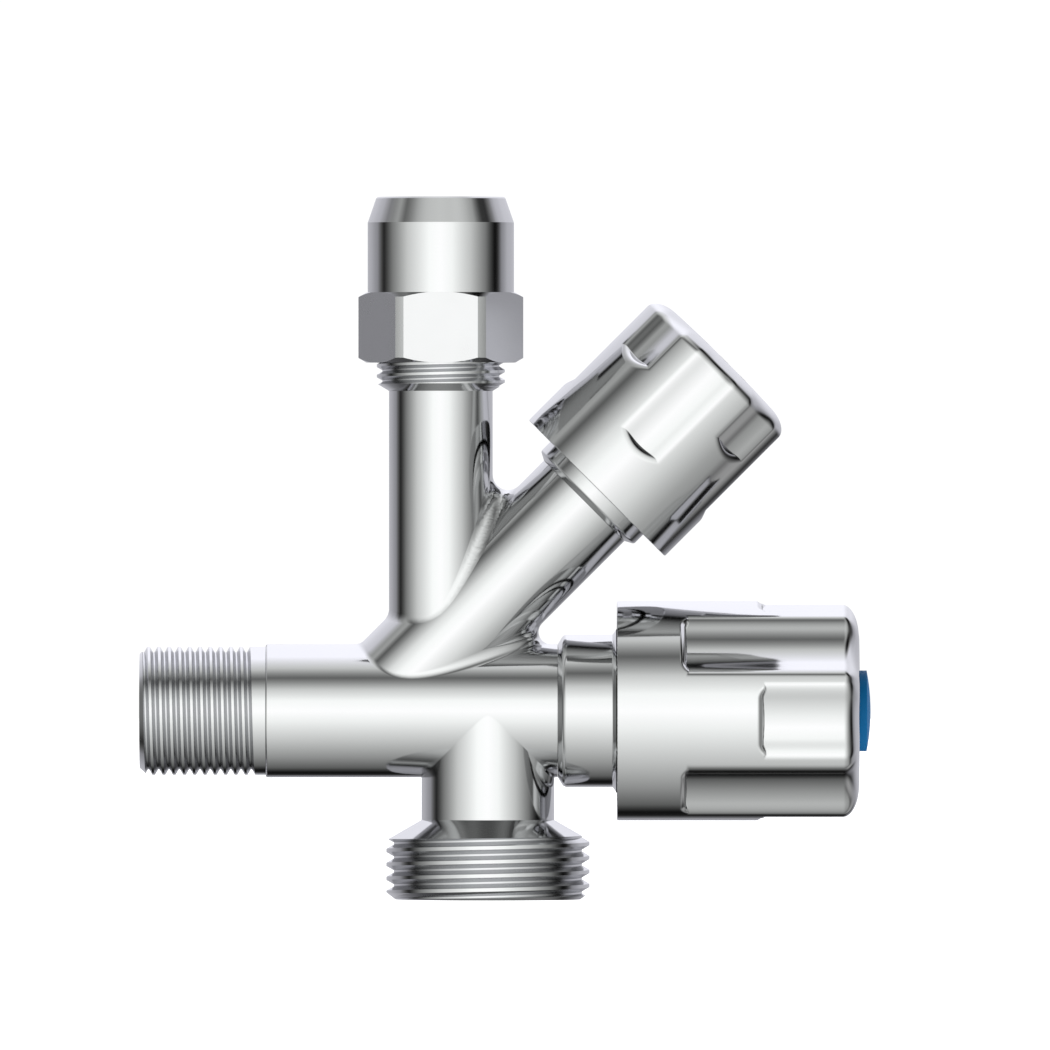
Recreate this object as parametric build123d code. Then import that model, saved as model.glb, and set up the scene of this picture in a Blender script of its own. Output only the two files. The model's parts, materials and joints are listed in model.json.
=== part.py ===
from build123d import *
import os
from math import sqrt, cos, sin, atan2, pi

# Angle valve with two handwheels: inlet nipple to the left, appliance outlet
# downward, pipe outlet upward with a compression union, two screwed headworks.
# Millimetres. Origin: centre of the inlet shoulder. +X runs along the barrel
# from the inlet to the large handwheel, +Z is up, the front is -Y.

# ---------------------------------------------------------------- dimensions
# barrel and inlet nipple (G3/8)
R_BARREL = 8.66
X_BARREL_END = 37.92
SHOULDER_R = 0.28         # rounded edge of the barrel above the inlet nipple
R_G38 = 8.331            # major radius of the G3/8 threads
X_INLET_END = -16.38
INLET_CHAMFER = 0.9
R_INLET_BORE = 5.4
R_MAIN_PASS = 3.8

# appliance outlet (G3/4)
X_NECK = 28.88
R_NECK = 8.64
R_G34 = 13.2205          # major radius of the G3/4 thread
Z_CONE_TOP = -14.15
Z_THREAD_TOP = -16.79
Z_OUTLET_END = -24.52
OUTLET_CHAMFER_Z = 0.92
OUTLET_CHAMFER_R = 1.20
R_OUTLET_BORE = 10.2
Z_OUTLET_FLOOR = -16.0

# vertical pipe outlet
X_TUBE = 22.76
R_TUBE = 6.74
Z_TUBE_CYL_TOP = 41.58
Z_UNION_THREAD = 42.55
Z_MALE_TOP = 53.6
R_TUBE_BORE = 4.0
R_PIPE_SOCKET = 5.10
Z_PIPE_STOP = 44.6
Z_TUBE_FLOOR = 14.7

# 45 degree branch: its axis crosses the barrel axis here
X_BRANCH = 14.08
R_BRANCH = 7.40
T_BRANCH_END = 38.58
R_BRANCH_PASS = 2.75

FILLET_TUBE = 2.0
FILLET_BRANCH = 1.6

# union nut
Z_NUT_BOTTOM = 45.28
Z_HEX_TOP = 54.38
Z_COLLAR_CHAMFER = 63.47
Z_NUT_TOP = 66.80
NUT_AF = 19.15
R_NUT_TURNED = 10.72
R_NUT_COLLAR = 9.51
R_NUT_TIP = 8.42
R_NUT_THREAD = 8.38
R_NUT_BORE = 5.20
R_RING = 5.10            # bore of the compression ring

# knobs
MAIN_KNOB = dict(a0=45.65, a1=77.22, r=14.25, ell_a=2.15, ell_b=4.30, r1=1.2, sag=0.10)
BRANCH_KNOB = dict(a0=40.94, a1=64.50, r=12.50, ell_a=2.00, ell_b=3.60, r1=1.25, sag=0.22)
FLUTE_R = 9.4            # radius of the concave flutes
MAIN_TURN = 5.3          # rotation of the large knob about its axis, degrees
BRANCH_TURN = 0.0

RUN = 0.05               # radial running clearance of turning and sliding fits

os.makedirs("parts", exist_ok=True)
NODES = {}


# ------------------------------------------------------------------- helpers
def rev(pts):
    """Solid of revolution about local Z from a closed outline of (r, z)."""
    face = Polyline(*[(r, 0, z) for r, z in pts], close=True)
    return revolve(make_face(face), Axis.Z, 360)


def cyl(r, z0, z1):
    return Pos(0, 0, (z0 + z1) / 2) * Cylinder(r, z1 - z0)


def ring(ri, ro, z0, z1):
    return rev([(ri, z0), (ro, z0), (ro, z1), (ri, z1)])


def torus(rmaj, rmin, z):
    return Pos(0, 0, z) * Torus(rmaj, rmin)


def hexagon(af, z0, z1, turn=0.0):
    body = extrude(RegularPolygon(af / 2, 6, major_radius=False), z1 - z0)
    return Pos(0, 0, z0) * Rot(0, 0, turn) * body


def double_d(r, flat, z0, z1):
    return cyl(r, z0, z1) & Pos(0, 0, (z0 + z1) / 2) * Box(4 * r, 2 * flat, z1 - z0)


def square_bar(side, rc, z0, z1):
    return cyl(rc, z0, z1) & Pos(0, 0, (z0 + z1) / 2) * Box(side, side, z1 - z0)


# placements: local Z is the axis, local X points to the front (-Y)
MAIN = Plane(origin=(0, 0, 0), x_dir=(0, -1, 0), z_dir=(1, 0, 0)).location
BRANCH = Plane(origin=(X_BRANCH, 0, 0), x_dir=(0, -1, 0),
               z_dir=(1 / sqrt(2), 0, 1 / sqrt(2))).location
TUBE = Plane(origin=(X_TUBE, 0, 0), x_dir=(0, -1, 0), z_dir=(0, 0, 1)).location
NECK = Plane(origin=(X_NECK, 0, 0), x_dir=(0, -1, 0), z_dir=(0, 0, 1)).location


def put(name, place, solid):
    NODES[name] = place * solid


def dist_axis(p, origin, direction):
    d = Vector(*direction).normalized()
    v = Vector(p.X, p.Y, p.Z) - Vector(*origin)
    return (v - d * v.dot(d)).length


def edges_between(shape, ax1, r1, ax2, r2, tol=0.02):
    found = []
    for e in shape.edges():
        pts = [e @ t for t in (0.0, 0.2, 0.5, 0.8, 1.0)]
        if all(abs(dist_axis(p, *ax1) - r1) < tol and abs(dist_axis(p, *ax2) - r2) < tol
               for p in pts):
            found.append(e)
    return found


AX_TUBE = ((X_TUBE, 0, 0), (0, 0, 1))
AX_BRANCH = ((X_BRANCH, 0, 0), (1, 0, 1))
AX_BARREL = ((0, 0, 0), (1, 0, 0))

# ---------------------------------------------------------------- valve body
# outside: vertical tube joined to the 45 degree branch with a rolled fillet
z_mid = X_TUBE - X_BRANCH
outer = BRANCH * cyl(R_BRANCH, 0, T_BRANCH_END)
outer += TUBE * cyl(R_TUBE, z_mid, Z_TUBE_CYL_TOP)
outer = fillet(edges_between(outer, AX_TUBE, R_TUBE, AX_BRANCH, R_BRANCH), FILLET_TUBE)
barrel = cyl(R_BARREL, 0, X_BARREL_END)
barrel = fillet(barrel.edges().sort_by(Axis.Z)[0], SHOULDER_R)
outer += MAIN * barrel
outer = fillet(edges_between(outer, AX_BARREL, R_BARREL, AX_BRANCH, R_BRANCH), FILLET_BRANCH)

# inlet nipple with its plain band and chamfered end
outer += MAIN * rev([(0, 0), (0, X_INLET_END), (R_G38 - INLET_CHAMFER, X_INLET_END),
                     (R_G38, X_INLET_END + INLET_CHAMFER * 1.1), (R_G38, 0)])
# thread of the pipe outlet above the tube, with its run-out cone
outer += TUBE * rev([(0, Z_TUBE_CYL_TOP - 1), (R_TUBE, Z_TUBE_CYL_TOP - 1),
                     (R_TUBE, Z_TUBE_CYL_TOP), (R_G38, Z_UNION_THREAD),
                     (R_G38, Z_MALE_TOP - 0.8), (R_G38 - 0.8, Z_MALE_TOP), (0, Z_MALE_TOP)])
# appliance outlet: neck, cone, thread
outer += NECK * rev([(0, 0), (R_NECK, 0), (R_NECK, Z_CONE_TOP), (R_G34, Z_THREAD_TOP),
                     (R_G34, Z_OUTLET_END + OUTLET_CHAMFER_Z),
                     (R_G34 - OUTLET_CHAMFER_R, Z_OUTLET_END), (0, Z_OUTLET_END)])

# inside of the inlet and the main seat
SEAT_X = 26.8            # seat rim of the large valve
X_CHAMBER = 26.0
R_CHAMBER = 6.0
X_MAIN_NOSE = 31.6       # start of the thread that takes the headwork
R_MAIN_THREAD = 7.2
X_MAIN_UNDERCUT = 36.6
R_MAIN_MOUTH = 8.0
body = outer - MAIN * rev([(0, X_INLET_END - 1), (R_INLET_BORE, X_INLET_END - 1),
                           (R_INLET_BORE, 5.0), (R_MAIN_PASS, 5.9),
                           (R_MAIN_PASS, X_CHAMBER + 0.5), (0, X_CHAMBER + 0.5)])
body -= MAIN * rev([(0, X_CHAMBER + 0.4), (R_MAIN_PASS, X_CHAMBER + 0.4),
                    (R_MAIN_PASS, SEAT_X), (4.5, SEAT_X), (4.7, X_CHAMBER),
                    (R_CHAMBER, X_CHAMBER), (R_CHAMBER, X_MAIN_NOSE),
                    (R_MAIN_THREAD, X_MAIN_NOSE), (R_MAIN_THREAD, X_MAIN_UNDERCUT),
                    (R_MAIN_MOUTH, X_MAIN_UNDERCUT), (R_MAIN_MOUTH, X_BARREL_END + 1),
                    (0, X_BARREL_END + 1)])
# appliance outlet passage
body -= NECK * cyl(R_OUTLET_BORE, Z_OUTLET_END - 1, Z_OUTLET_FLOOR)
body -= NECK * cyl(6.0, Z_OUTLET_FLOOR - 0.1, -7.4)
body -= Pos(30.1, 0, 0) * cyl(3.9, -7.6, 0)

# branch seat, chamber and headwork thread
SEAT_T = 16.4
T_CHAMBER = 15.8
R_BR_CHAMBER = 5.0
T_BR_THREAD = 31.4
R_BR_THREAD = 5.9
T_BR_UNDERCUT = 37.3
R_BR_MOUTH = 6.6
body -= BRANCH * cyl(R_BRANCH_PASS, 0, T_CHAMBER + 0.1)
body -= BRANCH * rev([(0, T_CHAMBER - 0.1), (R_BRANCH_PASS, T_CHAMBER - 0.1),
                      (R_BRANCH_PASS, SEAT_T), (3.45, SEAT_T), (3.6, T_CHAMBER),
                      (R_BR_CHAMBER, T_CHAMBER), (R_BR_CHAMBER, T_BR_THREAD),
                      (R_BR_THREAD, T_BR_THREAD), (R_BR_THREAD, T_BR_UNDERCUT),
                      (R_BR_MOUTH, T_BR_UNDERCUT), (R_BR_MOUTH, T_BRANCH_END + 1),
                      (0, T_BRANCH_END + 1)])
# vertical passage, pipe socket and ring seat
body -= TUBE * rev([(0, Z_TUBE_FLOOR), (R_TUBE_BORE, Z_TUBE_FLOOR),
                    (R_TUBE_BORE, Z_PIPE_STOP), (R_PIPE_SOCKET, Z_PIPE_STOP),
                    (R_PIPE_SOCKET, 50.4), (6.45, Z_MALE_TOP), (6.45, Z_MALE_TOP + 1),
                    (0, Z_MALE_TOP + 1)])
NODES["valve_body"] = body

# ----------------------------------------------------------------- union nut
nut = hexagon(NUT_AF, Z_NUT_BOTTOM, Z_HEX_TOP, 30)
c = 0.58                 # tangent of the 30 degree hexagon chamfers
R_FLAT = 9.70
nut &= rev([(0, Z_NUT_BOTTOM), (R_FLAT, Z_NUT_BOTTOM),
            (R_NUT_TURNED, Z_NUT_BOTTOM + c * (R_NUT_TURNED - R_FLAT)),
            (R_NUT_TURNED, Z_HEX_TOP - c * (R_NUT_TURNED - R_FLAT)),
            (R_FLAT, Z_HEX_TOP), (0, Z_HEX_TOP)])
nut += rev([(0, Z_HEX_TOP - 1), (R_NUT_COLLAR, Z_HEX_TOP - 1),
            (R_NUT_COLLAR, Z_COLLAR_CHAMFER), (R_NUT_TIP, Z_NUT_TOP - 0.2),
            (R_NUT_TIP - 0.2, Z_NUT_TOP), (0, Z_NUT_TOP)])
nut -= rev([(0, Z_NUT_BOTTOM - 1), (R_NUT_THREAD, Z_NUT_BOTTOM - 1),
            (R_NUT_THREAD, 54.6), (6.62, 54.6), (6.62, 55.5), (R_NUT_BORE, 56.92),
            (R_NUT_BORE, Z_NUT_TOP - 0.7), (R_NUT_BORE + 0.7, Z_NUT_TOP + 0.01),
            (R_NUT_BORE + 0.7, Z_NUT_TOP + 1), (0, Z_NUT_TOP + 1)])
put("union_nut", TUBE, nut)
# compression ring between the cone of the body and the cone of the nut
put("compression_ring", TUBE, rev([(R_RING, 50.75), (R_RING + 0.1, 50.75), (6.40, 53.75),
                                   (6.40, 55.35), (R_RING + 0.1, 56.70), (R_RING, 56.70)]))


# ----------------------------------------------------------------- headworks
def headwork(tag, place, seat, pass_r, washer_r, washer_t, cup_r, web_t, rod_r, rod_to,
             piston_to, guide_r, nose, nose_r, thread_a, thread_r, undercut, relief_r,
             end, face_r, cone_to, collar_r, collar_to, hex_af, hex_turned, hex_to, gland1_r,
             gland1_to, gland_r, gland_to, d_from, flat, d_to, o_piston, bore_from, drive_r,
             drive_from, shoulder_r, shaft_r, o_shaft, clip_w, sq, sq_rc, spindle_to,
             tap_r, screw_head_r, screw_head_t, screw_seat, washer_screw_r, seal_r, seal_rmin):
    # seat washer in the cup of the piston
    put(tag + "_seat_washer", place,
        ring(washer_screw_r + 0.02, washer_r, seat, seat + washer_t))
    cup0 = seat + 0.8
    web0 = seat + washer_t
    web1 = web0 + web_t
    piston = rev([(0, web0), (cup_r, web0), (cup_r, web1), (0, web1)])
    piston += ring(washer_r + 0.02, cup_r, cup0, web0 + 0.1)
    if rod_r:
        piston += cyl(rod_r, web1 - 0.1, rod_to + 0.1)
        piston += cyl(cup_r, rod_to, d_from - 3.3) + double_d(cup_r, flat - RUN, d_from - 3.4, piston_to)
    else:
        piston += cyl(cup_r, web1 - 0.1, d_from - 4.75) + double_d(cup_r, flat - RUN, d_from - 4.85, piston_to)
    piston -= cyl(drive_r + RUN, bore_from, piston_to + 1)
    piston -= cyl(washer_screw_r + 0.02, web0 - 1, web0 + min(web_t, 2.4) + 0.02)
    o_in = cup_r - 0.85
    piston -= ring(o_in, cup_r + 1, o_piston - 0.55, o_piston + 0.55)
    put(tag + "_piston", place, piston)
    rm = (o_in + guide_r) / 2
    put(tag + "_piston_o_ring", place, torus(rm, (guide_r - o_in) / 2 - 0.02, o_piston))
    # screw through the washer, slotted pan head inside the seat
    hr = min(pass_r - 0.7, washer_screw_r * 1.85)
    ws = rev([(0, seat - 1.3), (hr - 0.4, seat - 1.3), (hr, seat - 0.9), (hr, seat),
              (washer_screw_r, seat), (washer_screw_r, web0 + min(web_t, 2.4)),
              (0, web0 + min(web_t, 2.4))])
    ws -= Pos(0, 0, seat - 1.3) * Box(0.6, 3 * hr, 1.1)
    put(tag + "_washer_screw", place, ws)
    # bonnet
    bon = rev([(0, nose), (nose_r, nose), (nose_r, thread_a + 0.02), (thread_r, thread_a + 0.02),
               (thread_r, undercut), (relief_r, undercut), (relief_r, end + 0.02),
               (face_r, end + 0.02), (collar_r, cone_to), (collar_r, collar_to),
               (0, collar_to)])
    hx = hexagon(hex_af, collar_to - 0.5, hex_to, 30)
    k = collar_to
    hx &= rev([(0, k - 0.5), (collar_r - 0.02, k - 0.5), (collar_r - 0.02, k),
               (hex_turned, k + 0.58 * (hex_turned - collar_r + 0.02)),
               (hex_turned, hex_to - 0.5), (hex_turned - 0.8, hex_to), (0, hex_to)])
    bon += hx
    bon += rev([(0, hex_to - 0.5), (gland1_r, hex_to - 0.5), (gland1_r, gland1_to),
                (gland_r, gland1_to + 0.6), (gland_r, gland_to - 0.4),
                (gland_r - 0.4, gland_to), (0, gland_to)])
    bon -= cyl(guide_r, nose - 1, d_from)
    bon -= double_d(guide_r, flat, d_from - 0.1, d_to)
    bon -= cyl(shaft_r + RUN, d_to - 0.1, gland_to + 1)
    put(tag + "_bonnet", place, bon)
    put(tag + "_bonnet_seal", place, torus(seal_r, seal_rmin, (undercut + end) / 2))
    # spindle: drive thread, shoulder, shaft with two ring grooves, clip groove, square
    sp = rev([(0, drive_from), (drive_r - 0.5, drive_from), (drive_r, drive_from + 0.5),
              (drive_r, d_to - 1.6), (shoulder_r, d_to - 1.6), (shoulder_r, d_to - 0.05),
              (shaft_r, d_to - 0.05), (shaft_r, gland_to + 1.2), (0, gland_to + 1.2)])
    sp += square_bar(sq, sq_rc, gland_to + 1.0, spindle_to)
    g_in = shaft_r - 0.8
    for o in o_shaft:
        sp -= ring(g_in, shaft_r + 1, o - 0.6, o + 0.6)
    clip0 = gland_to + 0.2
    sp -= ring(shaft_r - 0.5, shaft_r + 1, clip0, clip0 + clip_w)
    sp -= cyl(tap_r, screw_seat - 8.6, spindle_to + 1)
    put(tag + "_spindle", place, sp)
    rm = (g_in + shaft_r + RUN) / 2
    ro = (shaft_r + RUN - g_in) / 2 - 0.015
    put(tag + "_spindle_o_rings", place,
        Compound(children=[torus(rm, ro, o) for o in o_shaft]))
    clip = ring(shaft_r - 0.48, shaft_r + 1.3, clip0 + 0.02, clip0 + clip_w - 0.02)
    clip -= Pos(0, shaft_r + 0.6, clip0 + clip_w / 2) * Box(2.4, 3.4, 3)
    put(tag + "_spindle_clip", place, clip)
    # knob screw: pan head on the knob's inner web, cross slot
    ks = rev([(0, screw_seat - 8.0), (tap_r - 0.02, screw_seat - 8.0), (tap_r - 0.02, screw_seat),
              (screw_head_r, screw_seat), (screw_head_r, screw_seat + screw_head_t * 0.7),
              (screw_head_r - 0.5, screw_seat + screw_head_t), (0, screw_seat + screw_head_t)])
    for turn in (0, 90):
        ks -= Pos(0, 0, screw_seat + screw_head_t) * Rot(0, 0, turn) * Box(0.7, screw_head_r, 1.6)
    put(tag + "_knob_screw", place, ks)


headwork("main", MAIN, seat=SEAT_X, pass_r=R_MAIN_PASS, washer_r=4.82, washer_t=2.4,
         cup_r=5.25, web_t=2.4, rod_r=0, rod_to=0, piston_to=41.4, guide_r=5.30,
         nose=X_MAIN_NOSE, nose_r=5.9, thread_a=X_MAIN_NOSE, thread_r=R_MAIN_THREAD - 0.02,
         undercut=X_MAIN_UNDERCUT, relief_r=6.75, end=X_BARREL_END, face_r=8.60,
         cone_to=38.83, collar_r=9.90, collar_to=45.15, hex_af=19.0, hex_turned=10.80,
         hex_to=50.5, gland1_r=7.5, gland1_to=51.6, gland_r=5.6, gland_to=57.6,
         d_from=39.4, flat=4.40, d_to=47.6, o_piston=33.6, bore_from=31.6, drive_r=3.0,
         drive_from=36.5, shoulder_r=4.3, shaft_r=3.40, o_shaft=(49.8, 53.0), clip_w=0.6,
         sq=5.4, sq_rc=3.35, spindle_to=66.5, tap_r=2.0, screw_head_r=3.4, screw_head_t=2.3,
         screw_seat=69.0, washer_screw_r=1.5, seal_r=7.375, seal_rmin=0.60)

headwork("branch", BRANCH, seat=SEAT_T, pass_r=R_BRANCH_PASS, washer_r=3.58, washer_t=2.0,
         cup_r=4.00, web_t=2.4, rod_r=2.4, rod_to=25.6, piston_to=35.2, guide_r=4.05,
         nose=25.0, nose_r=4.92, thread_a=T_BR_THREAD, thread_r=R_BR_THREAD - 0.02,
         undercut=T_BR_UNDERCUT, relief_r=5.35, end=T_BRANCH_END, face_r=7.35,
         cone_to=39.31, collar_r=8.54, collar_to=41.6, hex_af=15.6, hex_turned=8.75,
         hex_to=46.0, gland1_r=6.2, gland1_to=47.0, gland_r=4.6, gland_to=49.6,
         d_from=33.0, flat=3.40, d_to=40.4, o_piston=27.4, bore_from=28.6, drive_r=2.2,
         drive_from=31.8, shoulder_r=3.3, shaft_r=2.70, o_shaft=(42.4, 45.0), clip_w=0.6,
         sq=4.3, sq_rc=2.65, spindle_to=56.2, tap_r=1.5, screw_head_r=2.8, screw_head_t=1.9,
         screw_seat=58.6, washer_screw_r=1.2, seal_r=5.975, seal_rmin=0.60)


# --------------------------------------------------------------------- knobs
def knob(k, turn, cavity, hub_r, hub_from, web_from, sq, screw_r, seat, recess_r, cap_r,
         cap_from, long_start, short_start, first_long, depth, rear):
    """Fluted handwheel: eight concave flutes, long and short in turn."""
    a0, a1, r = k["a0"], k["a1"], k["r"]
    xe = a1 - k["sag"] - k["ell_a"]
    outline = [(0, a0), (r - 0.15, a0), (r, a0 + 0.15), (r, xe)]
    # end rounding: a small arc that runs into a large one
    ea, eb, r1 = k["ell_a"], k["ell_b"], k["r1"]
    r2 = ((eb - r1) ** 2 / (ea - r1) + r1 + ea) / 2
    c1, c2 = (r - r1, xe), (r - eb, xe + ea - r2)
    ln = sqrt((c1[0] - c2[0]) ** 2 + (c1[1] - c2[1]) ** 2)
    u = ((c1[0] - c2[0]) / ln, (c1[1] - c2[1]) / ln)
    join = (c1[0] + u[0] * r1, c1[1] + u[1] * r1)
    m1 = atan2(u[1], u[0]) / 2
    m2 = (atan2(u[1], u[0]) + pi / 2) / 2
    mid1 = (c1[0] + r1 * cos(m1), c1[1] + r1 * sin(m1))
    mid2 = (c2[0] + r2 * cos(m2), c2[1] + r2 * sin(m2))
    pa = (r - eb, xe + ea)
    edge = Polyline(*[(p[0], 0, p[1]) for p in outline[:4]])
    at = lambda q: (q[0], 0, q[1])
    rim_small = ThreePointArc(at(outline[3]), at(mid1), at(join))
    rim_large = ThreePointArc(at(join), at(mid2), at(pa))
    dome = ThreePointArc((pa[0], 0, pa[1]),
                         (pa[0] * 0.5, 0, pa[1] + k["sag"] * 0.75), (0, 0, a1))
    close = Line((0, 0, a1), (0, 0, a0))
    solid = revolve(make_face([edge, rim_small, rim_large, dome, close]), Axis.Z, 360)
    for i in range(8):
        is_long = (i % 2 == 0) == first_long
        start = long_start if is_long else short_start
        tool = rev([(0, start), (FLUTE_R - rear, start), (FLUTE_R, start + rear),
                    (FLUTE_R, a1 + 2), (0, a1 + 2)])
        solid -= Rot(0, 0, turn + 45 * i) * Pos(r - depth + FLUTE_R, 0, 0) * tool
    # inside: skirt cavity around the bonnet, then hub with square bore
    hollow = rev([(0, a0 - 1)] + [(rr, aa) for rr, aa in cavity] + [(0, cavity[-1][1])])
    hub = cyl(hub_r, hub_from, web_from + 0.5)
    for i in range(4):
        hub += (Rot(0, 0, turn + 22.5 + 90 * i) * Pos((hub_r + cavity[-1][0]) / 2 - 0.3, 0, 0)
                * Pos(0, 0, (hub_from + 3 + web_from + 0.4) / 2)
                * Box(cavity[-1][0] - hub_r + 1.2, 1.3, web_from + 0.4 - hub_from - 3))
    solid -= hollow
    solid += hub
    solid -= square_bar(sq, 9, hub_from - 1, seat - 2.2)
    solid -= cyl(screw_r, seat - 3, seat + 1)
    solid -= cyl(recess_r, seat, a1 + 1)
    if cap_r:
        solid -= cyl(cap_r, cap_from, a1 + 1)
    return solid


main_knob = knob(MAIN_KNOB, MAIN_TURN, [(11.3, 44.65), (11.3, 51.9), (10.3, 53.1), (10.3, 72.0)],
                 6.2, 58.9, 72.0, 5.44, 2.15, 69.0, 4.40, 0, 0,
                 long_start=54.1, short_start=64.15, first_long=False, depth=1.75, rear=0.6)
put("main_knob", MAIN, main_knob)

branch_knob = knob(BRANCH_KNOB, BRANCH_TURN, [(9.1, 39.94), (9.1, 47.6), (8.7, 48.4), (8.7, 61.0)],
                   5.2, 50.9, 61.0, 4.34, 1.6, 58.6, 3.40, 4.62, 63.2,
                   long_start=47.94, short_start=55.68, first_long=True, depth=0.82, rear=0.82)
put("branch_knob", BRANCH, branch_knob)

# blue cap: domed flange on the knob's end, stem with a hollow centre in the recess
CAP_A = 77.20
cap = rev([(0, CAP_A), (5.25, CAP_A), (5.25, 78.02), (5.12, 78.10), (0, 78.10)])
dome_cut = Pos(0, 0, 78.62 - 27.3) * Sphere(27.3)
cap = rev([(0, CAP_A - 1.2), (4.36, CAP_A - 1.2), (4.36, CAP_A), (5.25, CAP_A), (5.25, 79.2),
           (0, 79.2)]) & dome_cut
cap += ring(3.55, 4.36, 72.3, CAP_A - 1.1)
put("main_indicator_cap", MAIN, cap)
# flush plug of the small knob
plug = rev([(0, 63.24), (4.58, 63.24), (4.58, 64.24), (4.40, 64.40), (0, 64.48)])
plug += ring(2.6, 3.36, 61.2, 63.4)
put("branch_cap", BRANCH, plug)

# -------------------------------------------------------------------- export
for name, shape in NODES.items():
    export_step(shape, f"parts/{name}.step")
print(len(NODES), "nodes")
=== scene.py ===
"""Looks of the angle valve: chrome-plated brass body with cut threads, hexagon union nut,
two fluted handwheels and a blue indicator cap, on a plain white floor in soft studio light."""

import json
import math

import bpy
import numpy as np
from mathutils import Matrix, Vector


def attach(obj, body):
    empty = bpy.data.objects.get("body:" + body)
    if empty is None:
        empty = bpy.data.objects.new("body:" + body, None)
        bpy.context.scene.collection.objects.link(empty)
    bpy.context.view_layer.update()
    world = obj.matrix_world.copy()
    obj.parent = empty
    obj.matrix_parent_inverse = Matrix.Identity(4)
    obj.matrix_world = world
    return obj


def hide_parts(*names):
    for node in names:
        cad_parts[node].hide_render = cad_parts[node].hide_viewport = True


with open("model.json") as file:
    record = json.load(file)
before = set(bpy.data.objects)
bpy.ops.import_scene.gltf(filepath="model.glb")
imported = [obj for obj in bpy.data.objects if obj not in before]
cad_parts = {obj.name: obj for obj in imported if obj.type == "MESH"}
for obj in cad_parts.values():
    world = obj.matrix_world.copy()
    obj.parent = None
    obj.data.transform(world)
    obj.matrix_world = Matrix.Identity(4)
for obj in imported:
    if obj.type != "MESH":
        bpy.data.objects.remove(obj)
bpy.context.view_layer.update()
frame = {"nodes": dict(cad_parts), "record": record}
NODE = frame["nodes"]
scene = bpy.context.scene

# ------------------------------------------------------------------ dimensions, mm
R_G38, P_G38 = 8.331, 1.337
R_G34, P_G34 = 13.2205, 1.814
X_TUBE, X_NECK, X_BRANCH = 22.76, 28.88, 14.08
R_BARREL, R_TUBE, R_BRANCH, R_NECK = 8.66, 6.74, 7.40, 8.64
FLUTE_R = 9.4
S2 = math.sqrt(0.5)

AXES = {
    "main": (np.array([0.0, 0, 0]), np.array([1.0, 0, 0])),
    "tube": (np.array([X_TUBE, 0, 0]), np.array([0.0, 0, 1])),
    "neck": (np.array([X_NECK, 0, 0]), np.array([0.0, 0, 1])),
    "branch": (np.array([X_BRANCH, 0, 0]), np.array([S2, 0, S2])),
}


# ------------------------------------------------------------------ mesh tools
def unit(v):
    return v / np.maximum(np.linalg.norm(v, axis=-1, keepdims=True), 1e-12)


def radial(p, axis):
    """(height along the axis, distance from it, unit direction away from it)"""
    o, d = AXES[axis]
    q = p - o
    t = q @ d
    v = q - t[:, None] * d
    r = np.linalg.norm(v, axis=1)
    return t, r, v / np.maximum(r, 1e-9)[:, None]


def grab(node):
    """Vertices in mm and triangles of a CAD node's mesh."""
    me = NODE[node].data
    me.calc_loop_triangles()
    v = np.empty(len(me.vertices) * 3)
    me.vertices.foreach_get("co", v)
    t = np.empty(len(me.loop_triangles) * 3, dtype=np.int32)
    me.loop_triangles.foreach_get("vertices", t)
    return v.reshape(-1, 3) * 1000.0, t.reshape(-1, 3)


def islands(n, tris):
    """Face of the solid that each triangle belongs to (its mesh is not joined to the next)."""
    parent = np.arange(n)
    for _ in range(200):
        low = parent[tris].min(axis=1)
        new = parent.copy()
        for k in range(3):
            np.minimum.at(new, tris[:, k], low)
        new = new[new]
        if (new == parent).all():
            break
        parent = new
    lab = parent[tris[:, 0]]
    _, lab = np.unique(lab, return_inverse=True)
    return lab


def face_normals(v, t):
    return np.cross(v[t[:, 1]] - v[t[:, 0]], v[t[:, 2]] - v[t[:, 0]])


def rolled(p, n0, a, ra, b, rb, rho):
    """Normal of a concave fillet that a ball of radius rho leaves between two cylinders."""
    c = p + rho * n0
    for _ in range(25):
        ta, da, ga = radial(c, a)
        tb, db, gb = radial(c, b)
        tt = unit(np.cross(ga, gb))
        f = np.stack([da - ra - rho, db - rb - rho, np.sum((c - p) * tt, axis=1)], axis=1)
        m = np.stack([ga, gb, tt], axis=1)
        step = np.linalg.solve(m, f[:, :, None])[:, :, 0]
        c = c - step
    return c - p


class Surface:
    """The exact surface that one face of a solid lies on, for its normals."""

    def __init__(self, kind, sign=1.0, **k):
        self.kind, self.sign, self.k = kind, sign, k

    def normal(self, p, fallback):
        k = self.k
        if self.kind == "plane":
            return np.repeat(k["n"][None, :], len(p), axis=0)
        if self.kind == "cone":
            t, r, g = radial(p, k["axis"])
            d = AXES[k["axis"]][1]
            return self.sign * (g * k["c"] + d[None, :] * k["s"])
        if self.kind == "torus":
            t, r, g = radial(p, k["axis"])
            d = AXES[k["axis"]][1]
            return self.sign * unit(g * (r - k["r0"])[:, None] + d[None, :] * (t - k["t0"])[:, None])
        if self.kind == "rolled":
            return unit(rolled(p, fallback, *k["args"]))
        return fallback


def circle_fit(x, y):
    a = np.stack([x, y, np.ones_like(x)], axis=1)
    sol, *_ = np.linalg.lstsq(a, x * x + y * y, rcond=None)
    cx, cy = sol[0] / 2, sol[1] / 2
    return cx, cy, math.sqrt(max(sol[2] + cx * cx + cy * cy, 0))


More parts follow.
